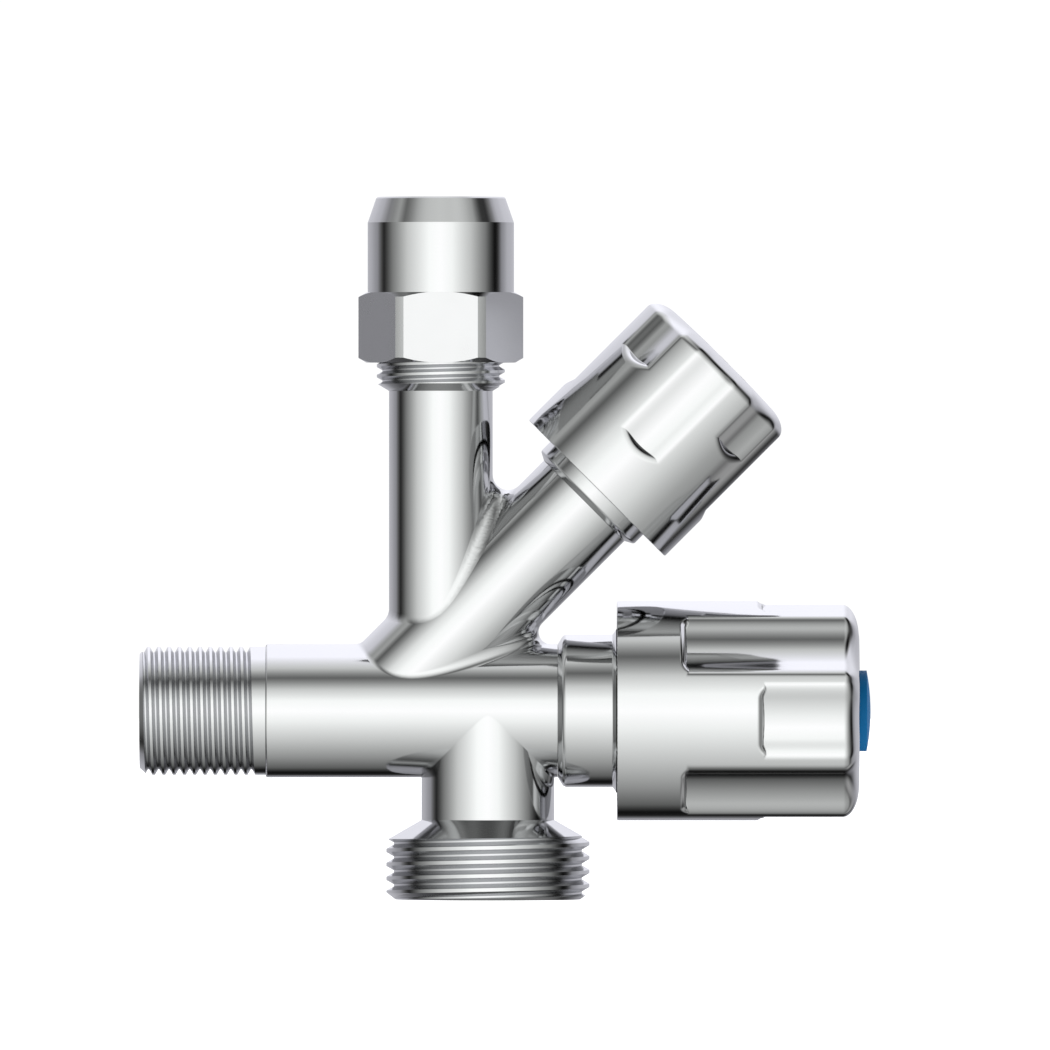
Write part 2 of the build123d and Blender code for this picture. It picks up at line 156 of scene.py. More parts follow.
def fit(v, t, sel, axes, rolls=()):
    """Recognises the exact surface of one face."""
    ids = np.unique(t[sel])
    p = v[ids]
    fn = face_normals(v, t[sel])
    mean = fn.sum(axis=0)
    area = np.linalg.norm(fn, axis=1).sum()
    n = mean / max(np.linalg.norm(mean), 1e-12)
    if np.linalg.norm(mean) > 0.99999 * area or (np.linalg.norm(mean) > 0.5 * area and np.ptp(p @ n) < 1e-4):
        return Surface("plane", n=n)
    cen = v[t[sel]].mean(axis=1)
    fu = unit(fn)
    big = np.linalg.norm(fn, axis=1) > 1e-6
    for ax in axes:
        tt, rr, _ = radial(p, ax)
        d = AXES[ax][1]
        if np.ptp(rr) < 2e-3:
            s = Surface("cone", axis=ax, c=1.0, s=0.0)
        elif np.ptp(tt) > 1e-3:
            q = np.polyfit(tt, rr, 1)
            if np.abs(np.polyval(q, tt) - rr).max() < 2e-3:
                c = 1 / math.hypot(1, q[0])
                s = Surface("cone", axis=ax, c=c, s=-q[0] * c)
            else:
                r0, t0, rho = circle_fit(rr, tt)
                res = np.abs(np.hypot(rr - r0, tt - t0) - rho).max()
                if res > 2e-3 or rho > 60:
                    continue
                s = Surface("torus", axis=ax, r0=r0, t0=t0)
        else:
            continue
        nn = s.normal(cen[big], fu[big])
        dots = np.sum(nn * fu[big], axis=1)
        if np.median(np.abs(dots)) < 0.97:
            continue
        s.sign = 1.0 if np.median(dots) > 0 else -1.0
        return s
    for args in rolls:
        try:
            vec = rolled(cen[big], fu[big], *args)
        except np.linalg.LinAlgError:
            continue
        res = np.abs(np.linalg.norm(vec, axis=1) - args[-1])
        dots = np.sum(unit(vec) * fu[big], axis=1)
        if np.percentile(res, 90) < 0.03 and np.median(dots) > 0.97:
            return Surface("rolled", args=args)
    return Surface("free")


def smooth_normals(v, t, sel):
    """Area weighted vertex normals inside one face, at each corner."""
    fn = face_normals(v, t[sel])
    acc = np.zeros_like(v)
    for k in range(3):
        np.add.at(acc, t[sel][:, k], fn)
    return unit(acc)[t[sel]]


def corner_normals(v, t, lab, surf):
    out = np.empty((len(t), 3, 3))
    for i, s in enumerate(surf):
        sel = lab == i
        base = smooth_normals(v, t, sel)
        p = v[t[sel]].reshape(-1, 3)
        n = s.normal(p, base.reshape(-1, 3))
        out[sel] = n.reshape(-1, 3, 3)
    return out


def weld(v, t, extra=None, grid=1e-4):
    """Joins vertices at the same place; returns vertices, triangles, and which triangles stay."""
    key = np.round(v / grid).astype(np.int64)
    _, first, inv = np.unique(key, axis=0, return_index=True, return_inverse=True)
    inv = inv.reshape(-1)
    t2 = inv[t]
    ok = (t2[:, 0] != t2[:, 1]) & (t2[:, 1] != t2[:, 2]) & (t2[:, 0] != t2[:, 2])
    return v[first], t2[ok], ok


def make(name, v, t, n, mat, body, replaces=(), mats=None, index=None):
    """One object from mm vertices, triangles and a normal for each corner."""
    v, t, ok = weld(v, t)
    n = n[ok]
    me = bpy.data.meshes.new(name)
    me.from_pydata((v * 0.001).tolist(), [], t.tolist())
    me.polygons.foreach_set("use_smooth", [True] * len(me.polygons))
    me.normals_split_custom_set(n.reshape(-1, 3).tolist())
    me.update()
    ob = bpy.data.objects.new(name, me)
    scene.collection.objects.link(ob)
    for m in mats or [mat]:
        me.materials.append(m)
    if index is not None:
        me.polygons.foreach_set("material_index", np.asarray(index)[ok].astype(np.int32))
    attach(ob, body)
    if replaces:
        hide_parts(*replaces)
    return ob


class Parts:
    """Patches of surface, gathered into one mesh."""

    def __init__(self):
        self.v, self.t, self.n, self.count = [], [], [], 0

    def add(self, v, t, n):
        self.v.append(v)
        self.t.append(t + self.count)
        self.n.append(n)
        self.count += len(v)

    def grid(self, p, n, wrap=True, flip=False):
        """p, n: rows x columns x 3; columns close on themselves when wrap."""
        h, w = p.shape[:2]
        idx = np.arange(h * w).reshape(h, w)
        nxt = np.roll(idx, -1, axis=1) if wrap else idx[:, 1:]
        cur = idx if wrap else idx[:, :-1]
        a, b, c, d = cur[:-1].ravel(), nxt[:-1].ravel(), nxt[1:].ravel(), cur[1:].ravel()
        t = np.concatenate([np.stack([a, b, c], 1), np.stack([a, c, d], 1)])
        if flip:
            t = t[:, ::-1]
        self.add(p.reshape(-1, 3), t, n.reshape(-1, 3)[t])

    def bridge(self, ring_a, ring_b, axis, normal, smooth=None):
        """Triangles between two closed rings of points round an axis, with any counts."""
        o, d = AXES[axis]
        e1 = unit(np.cross(d, [0.3, 0.9, 0.2])[None, :])[0]
        e2 = np.cross(d, e1)

        def order(r):
            q = r - o
            ang = np.arctan2(q @ e2, q @ e1)
            i = np.argsort(ang)
            return r[i], ang[i]

        a, aa = order(ring_a)
        b, ab = order(ring_b)
        na, nb = len(a), len(b)
        i = j = 0
        tris = []
        while i < na or j < nb:
            va = aa[i + 1] if i + 1 < na else aa[0] + 2 * math.pi
            vb = ab[j + 1] if j + 1 < nb else ab[0] + 2 * math.pi
            if j >= nb or (i < na and va <= vb):
                tris.append((i % na, (i + 1) % na, na + j % nb))
                i += 1
            else:
                tris.append((i % na, na + (j + 1) % nb, na + j % nb))
                j += 1
        v = np.concatenate([a, b])
        t = np.array(tris)
        nn = normal(v)
        fn = face_normals(v, t)
        wrong = np.sum(fn * nn[t].mean(axis=1), axis=1) < 0
        t[wrong] = t[wrong][:, ::-1]
        self.add(v, t, nn[t])

    def out(self):
        return np.concatenate(self.v), np.concatenate(self.t), np.concatenate(self.n)


def around(axis, ang, r, t):
    """Points round an axis. ang is 0 toward the viewer and grows clockwise as a right hand
    screw along the axis turns."""
    o, d = AXES[axis]
    e1 = np.array([0.0, -1.0, 0.0])
    e2 = np.cross(d, e1)
    return (o + t[..., None] * d + r[..., None] * (np.cos(ang)[..., None] * e1 + np.sin(ang)[..., None] * e2))


# ------------------------------------------------------------------ threads
def groove(axis, R, P, at, turns, fade_from, fade_to, cols=96, lead=None):
    """Closed helical cutter for a 60 degree groove: narrow flat root, wide crest left between.
    at: place along the axis of a groove centre where it faces the viewer. turns: (first, last)
    in revolutions from there. It backs out of the metal between fade_from and fade_to."""
    depth = 0.5413 * P
    top = 0.10
    n = int((turns[1] - turns[0]) * cols) + 1
    psi = np.linspace(turns[0], turns[1], n) * 2 * math.pi
    turn = psi / (2 * math.pi)
    lift = np.zeros(n)
    if fade_to > fade_from:
        lift = np.clip((turn - fade_from) / (fade_to - fade_from), 0, 1) * (depth + 0.05)
    if lead is not None:
        lift = np.maximum(lift, np.clip((lead[1] - turn) / (lead[1] - lead[0]), 0, 1) * (depth + 0.05))
    cen = at + P * turn
    k = math.tan(math.radians(30))
    r_root = R - depth + lift
    r_top = np.full(n, R + top)
    r_root = np.minimum(r_root, R + top - 0.02)
    w0 = P / 16
    w1 = w0 + (r_top - r_root) * k
    ring = []
    for off, rr in ((-w1, r_top), (-w0 * np.ones(n), r_root), (w0 * np.ones(n), r_root), (w1, r_top)):
        ring.append(around(axis, psi, rr, cen + off))
    p = np.stack(ring, axis=1)  # n x 4 x 3
    v = p.reshape(-1, 3)
    tris, tag = [], []
    for i in range(n - 1):
        for j in range(4):
            a, b = i * 4 + j, i * 4 + (j + 1) % 4
            c, d = (i + 1) * 4 + (j + 1) % 4, (i + 1) * 4 + j
            tris += [(a, b, c), (a, c, d)]
            tag += [j, j]
    tris += [(0, 2, 1), (0, 3, 2)]
    m = (n - 1) * 4
    tris += [(m, m + 1, m + 2), (m, m + 2, m + 3)]
    tag += [4] * 4
    t = np.array(tris)
    fn = face_normals(v, t[:2])
    # outward: the first quad (left flank) must face away from the groove's middle
    mid = p[0].mean(axis=0)
    if np.dot(fn[0], v[t[0]].mean(axis=0) - mid) < 0:
        t = t[:, ::-1]
    return v, t, np.array(tag), dict(axis=axis, P=P, k=k)


def thread_normal(p, info, side):
    """Normal of the metal on a flank (side -1: flank that faces +axis, 1: faces -axis) or root (0)."""
    t, r, g = radial(p, info["axis"])
    if side == 0:
        return g
    d = AXES[info["axis"]][1]
    tang = np.cross(d, g)
    # the flank is r = r0 - side*(t - P*psi/2pi)/k; its gradient points out of the metal
    gr = g + (side / info["k"]) * (d[None, :] - tang * (info["P"] / (2 * math.pi * r))[:, None])
    return unit(gr)


# ------------------------------------------------------------------ materials
def mat_new(name):
    m = bpy.data.materials.new(name)
    m.use_nodes = True
    nt = m.node_tree
    nt.nodes.clear()
    out = nt.nodes.new("ShaderNodeOutputMaterial")
    b = nt.nodes.new("ShaderNodeBsdfPrincipled")
    nt.links.new(b.outputs[0], out.inputs[0])
    return m, nt, b


def noise(nt, scale, detail=3.0, rough=0.55, vec=None, stretch=None):
    co = nt.nodes.new("ShaderNodeTexCoord")
    src = co.outputs["Object"]
    if stretch:
        mp = nt.nodes.new("ShaderNodeMapping")
        mp.inputs["Scale"].default_value = stretch
        nt.links.new(src, mp.inputs[0])
        src = mp.outputs[0]
    nz = nt.nodes.new("ShaderNodeTexNoise")
    nz.inputs["Scale"].default_value = scale
    nz.inputs["Detail"].default_value = detail
    nz.inputs["Roughness"].default_value = rough
    nt.links.new(src, nz.inputs["Vector"])
    return nz.outputs["Fac"]


def remap(nt, src, a, b, c, d):
    mr = nt.nodes.new("ShaderNodeMapRange")
    mr.inputs["From Min"].default_value = a
    mr.inputs["From Max"].default_value = b
    mr.inputs["To Min"].default_value = c
    mr.inputs["To Max"].default_value = d
    nt.links.new(src, mr.inputs["Value"])
    return mr.outputs[0]


def ramp(nt, src, stops, mode="EASE"):
    r = nt.nodes.new("ShaderNodeValToRGB")
    r.color_ramp.interpolation = mode
    el = r.color_ramp.elements
    while len(el) < len(stops):
        el.new(0.5)
    for e, (pos, col) in zip(el, stops):
        e.position = pos
        if not isinstance(col, tuple):
            col = (col, col, col)
        e.color = (*col, 1)
    nt.links.new(src, r.inputs[0])
    return r.outputs[0]


def bump(nt, b, src, strength, dist):
    n = nt.nodes.new("ShaderNodeBump")
    n.inputs["Strength"].default_value = strength
    n.inputs["Distance"].default_value = dist
    nt.links.new(src, n.inputs["Height"])
    nt.links.new(n.outputs[0], b.inputs["Normal"])


def chrome(name, base=(0.965, 0.97, 0.975), rough=(0.030, 0.055)):
    """Bright chrome plate: very fine polishing haze, faint tone variation."""
    m, nt, b = mat_new(name)
    b.inputs["Metallic"].default_value = 1.0
    haze = noise(nt, 260.0, 4.0)
    nt.links.new(remap(nt, haze, 0.3, 0.7, rough[0], rough[1]), b.inputs["Roughness"])
    tone = noise(nt, 45.0, 2.0)
    lo = tuple(c * 0.985 for c in base)
    nt.links.new(ramp(nt, tone, [(0.35, lo), (0.65, base)], "LINEAR"), b.inputs["Base Color"])
    return m


def metal(name, dark, light, rough, scale, stretch=None, bumpy=0.0):
    m, nt, b = mat_new(name)
    b.inputs["Metallic"].default_value = 1.0
    nz = noise(nt, scale, 4.0, stretch=stretch)
    nt.links.new(ramp(nt, nz, [(0.3, dark), (0.7, light)], "LINEAR"), b.inputs["Base Color"])
    nt.links.new(remap(nt, nz, 0.3, 0.7, rough[0], rough[1]), b.inputs["Roughness"])
    if bumpy:
        bump(nt, b, nz, bumpy, 0.00004)
    return m


def plastic(name, dark, light, rough, scale, spec=0.5, bumpy=0.05, sheen=0.0):
    m, nt, b = mat_new(name)
    b.inputs["Specular IOR Level"].default_value = spec
    nz = noise(nt, scale, 3.0)
    nt.links.new(ramp(nt, nz, [(0.3, dark), (0.7, light)], "LINEAR"), b.inputs["Base Color"])
    nt.links.new(remap(nt, nz, 0.3, 0.7, rough[0], rough[1]), b.inputs["Roughness"])
    bump(nt, b, noise(nt, scale * 6, 3.0), bumpy, 0.00003)
    return m


CHROME = chrome("chrome_plate", rough=(0.075, 0.10))
# thread grooves: rougher cut chrome, with a slightly darker base colour as painted shade in the grooves
THREAD_PAINTED_SHADE_CHROME = chrome("thread_chrome_painted_groove_shade", (0.93, 0.935, 0.95), (0.14, 0.19))
SATIN = chrome("chrome_on_flats", (0.965, 0.97, 0.975), (0.24, 0.28))
# near-black metal for the bonnet hexagons inside the handwheels: painted shade for the dark cavity behind the wheels
HEX_PAINTED_SHADE = metal("painted_shade_hidden_hexagon", (0.05, 0.045, 0.035), (0.08, 0.07, 0.055), (0.4, 0.5), 300.0)
BRASS = metal("machined_brass", (0.62, 0.42, 0.16), (0.80, 0.58, 0.26), (0.18, 0.34), 300.0, bumpy=0.15)
STEEL = metal("plain_steel", (0.42, 0.42, 0.43), (0.60, 0.60, 0.61), (0.20, 0.34), 420.0, bumpy=0.1)
RUBBER = plastic("black_rubber", (0.012, 0.012, 0.012), (0.03, 0.03, 0.03), (0.55, 0.75), 500.0, 0.35, 0.3)
BLUE = plastic("blue_plastic", (0.0035, 0.150, 0.385), (0.0045, 0.162, 0.410), (0.42, 0.5), 240.0, 0.12, 0.05)
SLOT_MAT = {"chrome": CHROME, "blue_cap": BLUE, "brass": BRASS, "rubber": RUBBER, "steel": STEEL}

record_slots = {}
for m in frame["record"].get("materials", []):
    for nn in m.get("nodes", []) or []:
        record_slots[nn] = m.get("slot")

# ------------------------------------------------------------------ valve body
v, t = grab("valve_body")
lab = islands(len(v), t)
ROLLS = [("tube", R_TUBE, "branch", R_BRANCH, 2.0), ("main", R_BARREL, "branch", R_BRANCH, 1.6)]
surf = [fit(v, t, lab == i, ["main", "tube", "neck", "branch"], ROLLS) for i in range(lab.max() + 1)]


def to_object(name, v, t, tags):
    me = bpy.data.meshes.new(name)
    me.from_pydata((v * 0.001).tolist(), [], t.tolist())
    at = me.attributes.new("surf", "INT", "FACE")
    at.data.foreach_set("value", np.asarray(tags, dtype=np.int32))
    ob = bpy.data.objects.new(name, me)
    scene.collection.objects.link(ob)
    return ob


wv, wt, ok = weld(v, t, grid=1e-3)
body_ob = to_object("tmp_body", wv, wt, lab[ok])
cut_info = []
CUTS = [
    groove("main", R_G38, P_G38, -2.20, (-11.6, 0.62), 0.40, 0.62),
    groove("neck", R_G34, P_G34, (710.85 - 853.85) * 0.13, (-4.6, 1.9), 9, 9),
    groove("tube", R_G38, P_G38, (710.85 - 368.3) * 0.13, (-1.9, 7.6), 9, 9),
]

tmp = [body_ob]
for i, (cv, ct, tag, info) in enumerate(CUTS):
    co = to_object(f"tmp_cut_{i}", cv, ct, 1000 + 10 * i + tag)
    cut_info.append(info)
    tmp.append(co)
    md = body_ob.modifiers.new(f"cut{i}", "BOOLEAN")
    md.operation = "DIFFERENCE"
    md.solver = "EXACT"
    md.object = co
dg = bpy.context.evaluated_depsgraph_get()
res = bpy.data.meshes.new_from_object(body_ob.evaluated_get(dg))
res.calc_loop_triangles()
rv = np.empty(len(res.vertices) * 3)
res.vertices.foreach_get("co", rv)
rv = rv.reshape(-1, 3) * 1000
rt = np.empty(len(res.loop_triangles) * 3, dtype=np.int32)
res.loop_triangles.foreach_get("vertices", rt)
rt = rt.reshape(-1, 3)
poly = np.empty(len(res.loop_triangles), dtype=np.int32)
res.loop_triangles.foreach_get("polygon_index", poly)
sv = np.empty(len(res.polygons), dtype=np.int32)
res.attributes["surf"].data.foreach_get("value", sv)
tag = sv[poly]
rn = np.empty((len(rt), 3, 3))
for u in np.unique(tag):
    sel = tag == u
    p = rv[rt[sel]].reshape(-1, 3)
    if u >= 1000:
        info = cut_info[(u - 1000) // 10]
        j = (u - 1000) % 10
        if j in (0, 1, 2):
            n = thread_normal(p, info, {0: 1, 1: 0, 2: -1}[j])
            fn = unit(face_normals(rv, rt[sel]))
            if np.median(np.sum(np.repeat(fn, 3, axis=0) * n, axis=1)) < 0 and j != 1:
                n = thread_normal(p, info, {0: -1, 2: 1}[j])
            rn[sel] = n.reshape(-1, 3, 3)
        else:
            rn[sel] = unit(face_normals(rv, rt[sel]))[:, None, :]
    else:
        base = smooth_normals(rv, rt, sel)
        rn[sel] = surf[u].normal(p, base.reshape(-1, 3)).reshape(-1, 3, 3)
for o in tmp:
    bpy.data.objects.remove(o)
# the cutter faces of the threads take the groove chrome, whose darker base colour is painted groove shade
make("valve_body_looks", rv, rt, rn, CHROME, "valve", ["valve_body"],
     mats=[CHROME, THREAD_PAINTED_SHADE_CHROME], index=tag >= 1000)


# ------------------------------------------------------------------ turned pieces with exact normals
def exact(node, axes, name, mat, body, second=None, where=None, collar=None):
    """A turned piece with the normals of its own surfaces. second is the material of the faces
    that where(centre, normal) picks. collar (axis, t0, t1, profile, normals) swaps the outside
    between two heights for a finer turned profile."""
    v, t = grab(node)
    lab = islands(len(v), t)
    surf = [fit(v, t, lab == i, axes) for i in range(lab.max() + 1)]
    n = corner_normals(v, t, lab, surf)
    parts = Parts()
    keep = np.ones(len(t), dtype=bool)
    if collar:
        axis, t0, t1, r_min, prof, nor = collar
        tt, rr, _ = radial(v, axis)
        for i in range(lab.max() + 1):
            ids = np.unique(t[lab == i])
            if tt[ids].min() > t0 - 0.01 and tt[ids].max() < t1 + 0.01 and rr[ids].min() > r_min and np.ptp(tt[ids]) > 0.05:
                keep &= lab != i
        th = np.linspace(0, 2 * math.pi, 256, endpoint=False) + 0.011
        for (r, h), (nr, nh) in zip(prof, nor):
            r, h, nr, nh = map(np.array, (r, h, nr, nh))
            p = around(axis, np.broadcast_to(th, (len(r), len(th))), np.repeat(r[:, None], len(th), 1),
                       np.repeat(h[:, None], len(th), 1))
            g = radial(p.reshape(-1, 3), axis)[2].reshape(p.shape)
            q = unit(g * nr[:, None, None] + AXES[axis][1][None, None, :] * nh[:, None, None])
            parts.grid(p, q)
            fn = face_normals(parts.v[-1], parts.t[-1] - (parts.count - len(parts.v[-1])))
            if np.sum(fn * parts.n[-1].mean(axis=1)) < 0:
                parts.t[-1] = parts.t[-1][:, ::-1]
                parts.n[-1] = parts.n[-1][:, ::-1]
    parts.add(v, t[keep], n[keep])
    pv, pt, pn = parts.out()
    index = None
    if where:
        index = where(pv[pt].mean(axis=1), pn.mean(axis=1))
    return make(name, pv, pt, pn, mat, body, [node], mats=[mat, second] if second else None, index=index)


def turned(points, radii):
    """A profile of (r, height) corners joined by straight lines, corners rounded where a radius
    is given. Returns smooth runs as (r, h) lists with their outward normals."""
    pts = [np.array(q, dtype=float) for q in points]
    run_r, run_h, run_n = [pts[0][0]], [pts[0][1]], []
    d0 = unit(pts[1] - pts[0])
    run_n.append(d0)
    runs = []
    for i in range(1, len(pts) - 1):
        a, b = unit(pts[i] - pts[i - 1]), unit(pts[i + 1] - pts[i])
        cr = a[0] * b[1] - a[1] * b[0]
        ang = math.atan2(abs(cr), float(a @ b))
        rad = radii[i]
        if rad > 0:
            cut = rad * math.tan(ang / 2)
            for k in range(9):
                w = k / 8 * ang
                # rotate from a towards b
                sg = 1 if cr > 0 else -1
                ca, sa = math.cos(w), math.sin(w) * sg
                tang = np.array([a[0] * ca - a[1] * sa, a[0] * sa + a[1] * ca])
                nrm = np.array([-a[1], a[0]]) * sg
                cen = pts[i] - a * cut + nrm * rad
                rn_ = np.array([-tang[1], tang[0]]) * sg
                q = cen - rn_ * rad
                run_r.append(q[0]), run_h.append(q[1]), run_n.append(tang)
        else:
            run_r.append(pts[i][0]), run_h.append(pts[i][1]), run_n.append(a)
            runs.append((run_r, run_h, run_n))
            run_r, run_h, run_n = [pts[i][0]], [pts[i][1]], [b]
    b = unit(pts[-1] - pts[-2])
    run_r.append(pts[-1][0]), run_h.append(pts[-1][1]), run_n.append(b)
    runs.append((run_r, run_h, run_n))
    prof = [(r, h) for r, h, _ in runs]
    nor = [([q[1] for q in n], [-q[0] for q in n]) for _, _, n in runs]
    return prof, nor


# the collar of the large headwork: chamfer with rounded corners, flared lip behind the handwheel
prof, nor = turned([(8.60, 37.94), (8.72, 38.0), (9.90, 38.72), (9.90, 45.10), (10.54, 45.53), (9.2, 45.55)],
                   [0, 0.15, 0.75, 0.25, 0, 0])
exact("union_nut", ["tube"], "union_nut_looks", CHROME, "nut", SATIN,
      lambda c, n: (np.abs(n[:, 2]) < 0.02) & (np.abs(np.hypot(n[:, 0], n[:, 1]) - 1) < 0.02)
      & (c[:, 2] < 54.5) & (np.hypot(c[:, 0] - X_TUBE, c[:, 1]) > 9.3))
# bonnet faces past the collar, inside the handwheel, get the near-black painted shade
exact("main_bonnet", ["main"], "main_bonnet_looks", CHROME, "valve", HEX_PAINTED_SHADE,
      lambda c, n: c[:, 0] > 45.56, ("main", 37.93, 45.2, 8.5, prof, nor))
prof, nor = turned([(7.35, 38.60), (7.45, 38.65), (8.54, 39.24), (8.54, 41.60)], [0, 0.12, 0.45, 0])
# here too the hexagon past the collar gets the near-black painted shade
exact("branch_bonnet", ["branch"], "branch_bonnet_looks", CHROME, "valve", HEX_PAINTED_SHADE,
      lambda c, n: radial(c, "branch")[0] > 41.61, ("branch", 38.59, 41.61, 7.3, prof, nor))
exact("main_indicator_cap", ["main"], "indicator_cap_looks", BLUE, "main_handwheel")
exact("branch_cap", ["branch"], "branch_cap_looks", CHROME, "branch_handwheel")


# ------------------------------------------------------------------ handwheels
def smin(a, b, k):
    h = np.clip(1 - np.abs(a - b) / k, 0, 1)
    return np.minimum(a, b) - h * h * k / 4


def handwheel(node, axis, body, a0, a1, R, ell_a, ell_b, sag, turn, depth, k_edge, walls, first_long,
              hole, flat=None, lens=None, cols=384):
    """Fluted handwheel as a surface round its axis: eight concave flutes with rounded edges,
    sloping rear walls, a rounded end that follows the flutes and a slightly domed end face."""
    xe = a1 - sag - ell_a
    rows = [a0, a0 + 0.05, a0 + 0.15]
    rows += list(np.linspace(a0 + 1.0, min(w[0] for w in walls) - 0.6, 3))
    for w0, w1 in walls:
        rows += list(np.linspace(w0 - 0.5, w1 + (1.3 if flat else 0.5), 40))
    a = np.array(sorted(set(np.round(rows, 4))))
    a = a[a < xe - 0.05]
    a = np.concatenate([a, np.linspace(max(a.max() + 0.4, xe - 1.0), xe, 3)])
    ang = (math.pi / 2) * np.linspace(0, 1, 26)[1:]
    th = np.linspace(0, 2 * math.pi, cols, endpoint=False)

    yc_ = R - depth + FLUTE_R
    half = R * math.sqrt(1 - ((R * R + yc_ * yc_ - FLUTE_R * FLUTE_R) / (2 * R * yc_)) ** 2)

    def shape(th, a):
        """radius before the end rounding"""
        out = np.full(np.broadcast(th, a).shape, R)
        yc = R - depth + FLUTE_R
        for i in range(8):
            is_long = (i % 2 == 0) == first_long
            w0, w1 = walls[0] if is_long else walls[1]
            d = (th - math.radians(turn + 45 * i) + math.pi) % (2 * math.pi) - math.pi
            s = yc * np.sin(d)
            # cutter: cylinder of radius FLUTE_R whose nose is a cone between w0 and w1
            rc = FLUTE_R - (0 if lens else 1) * np.clip((w1 - a) / (w1 - w0), 0, None) * depth
            rc = np.broadcast_to(rc, np.broadcast(th, a).shape)
            inside = (np.abs(d) < math.radians(40)) & (rc > np.abs(s) + 1e-6)
            if flat:
                # straight rear wall: a chamfer, then a steep drop, with rounded corners in plan
                inside = (np.abs(d) < math.radians(40)) & (FLUTE_R > np.abs(s) + 1e-6)
                rc = np.full_like(rc, FLUTE_R)
            hit = yc * np.cos(d) - np.sqrt(np.maximum(rc * rc - s * s, 0))
            if flat:
                over = np.clip(np.abs(R * np.sin(d)) - (half - flat), 0, flat)
                x = a - (w0 + 0.8 * (over / flat) ** 2.2)
                wide = w1 - w0
                fall = np.where(x < 0, 1.8 * x, np.where(x < wide, 1.11 * x, 1.11 * wide + 6 * (x - wide)))
                hit = -smin(-hit, fall - R, 0.12)
            if lens:
                # rear wall that steepens from a curved outer rim down to the flute's floor
                deep = R - hit
                x = a - w1 + lens * (1 - (R * np.sin(d) / 2.6) ** 2)
                wall = 0.65 * x + 0.65 * np.maximum(x, 0) ** 2
                hit = R - np.minimum(deep, wall)
            f = np.where(inside, hit, 99.0)
            out = np.minimum(out, smin(np.full_like(out, R), f, k_edge))
        return out

    aa = np.concatenate([a, xe + ell_a * np.sin(ang)])
    drop = np.concatenate([np.zeros(len(a)), ell_b * (1 - np.cos(ang))])
    drop[0] += 0.15
    drop[1] += 0.045
    TH, AA = np.meshgrid(th, aa)
    rr = shape(TH, np.minimum(AA, xe)) - drop[:, None]
    # end face: from the rounding in to the hole, slightly domed
    r_in = rr[-1]
    fr = np.linspace(1, 0, 12)[1:]
    r_end = hole + (r_in[None, :] - hole) * fr[:, None]
    a_pa = aa[-1]
    a_end = a_pa + (a1 - a_pa) * (1 - (r_end / r_in[None, :]) ** 2)
    rall = np.concatenate([rr, r_end])
    aall = np.concatenate([AA, a_end])
    tall = np.broadcast_to(th, rall.shape)
    p = around(axis, tall, rall, aall)
    # normals from the surface's own derivatives
    du = np.roll(p, -1, axis=1) - np.roll(p, 1, axis=1)
    dv = np.empty_like(p)
    dv[1:-1] = p[2:] - p[:-2]
    dv[0] = p[1] - p[0]
    dv[-1] = p[-1] - p[-2]
    n = unit(np.cross(du, dv))
    cenr = radial(p.reshape(-1, 3), axis)[2].reshape(p.shape)
    if np.sum(n[4] * cenr[4]) < 0:
        n = -n
    parts = Parts()
    # straight part between the chamfer and the first wall is one plain cylinder: exact normals
    plain = aall[:, 0] < min(w[0] for w in walls) - 0.55
    for i in np.where(plain)[0]:
        n[i] = cenr[i]
    parts.grid(p[:2], np.repeat(unit(cenr[:1] - AXES[axis][1][None, None, :]), 2, axis=0))
    parts.grid(p[1:], n[1:])
    tri_fn = face_normals(parts.v[1], parts.t[1][:1] - len(parts.v[0]))
    if np.dot(tri_fn[0], parts.n[1][0, 0]) < 0:
        parts.t = [x[:, ::-1] for x in parts.t]
        parts.n = [x[:, ::-1] for x in parts.n]
    # rear face, cavity, hub and bore of the solid itself
    v, t = grab(node)
    lab = islands(len(v), t)
    keep = np.zeros(len(t), dtype=bool)
    tt, rr_, _ = radial(v, axis)
    for i in range(lab.max() + 1):
        sel = lab == i
        ids = np.unique(t[sel])
        ta, ra = tt[ids], rr_[ids]
        outer = ra.max() > R - 4.9 and not (np.ptp(ta) < 1e-3 and ta.mean() < a0 + 0.01)
        if ra.max() > R - 4.9 and ra.max() < 11.6 and ta.max() < 73 and axis == "main":
            outer = False
        if ra.max() < 9.2 and ta.max() < 61.5 and axis == "branch":
            outer = False
        if ta.max() > a1 - 1.2 and ra.max() > hole + 0.3:
            outer = True
        if not outer:
            keep |= sel
    surf = [fit(v, t, lab == i, [axis]) for i in range(lab.max() + 1)]
    n2 = corner_normals(v, t, lab, surf)
    kt, kn = t[keep], n2[keep]
    parts.add(v, kt, kn)
    # close the two seams: rear edge ring, and the rim of the hole
    edges = {}
    wv, wt, _ok = weld(v, kt)
    for tri in wt:
        for x, y in ((0, 1), (1, 2), (2, 0)):
            e = tuple(sorted((tri[x], tri[y])))
            edges[e] = edges.get(e, 0) + 1
    rim = np.unique([i for e, c in edges.items() if c == 1 for i in e])
    rt_, rr2, _ = radial(wv[rim], axis)
    rear = wv[rim][np.abs(rt_ - a0) < 0.02]
    front = wv[rim][(np.abs(rt_ - a0) >= 0.02)]
    axv = AXES[axis][1]
    if len(rear) > 8:
        parts.bridge(rear, p[0], axis, lambda q: np.repeat(-axv[None, :], len(q), axis=0))
    if len(front) > 8:
        parts.bridge(front, p[-1], axis, lambda q: np.repeat(axv[None, :], len(q), axis=0))
    pv, pt, pn = parts.out()
    return make(node + "_looks", pv, pt, pn, CHROME, body, [node])


handwheel("main_knob", "main", "main_handwheel", 45.65, 77.22, 14.25, 2.15, 4.30, 0.10, 5.3, 1.75, 0.88,
          [(54.20, 54.40), (64.23, 64.43)], False, 4.40, 1.45)
handwheel("branch_knob", "branch", "branch_handwheel", 40.94, 64.50, 12.50, 2.00, 3.60, 0.22, 0.0, 0.82, 0.46,
          [(47.68, 48.76), (55.40, 56.50)], True, 4.62, lens=0.73)

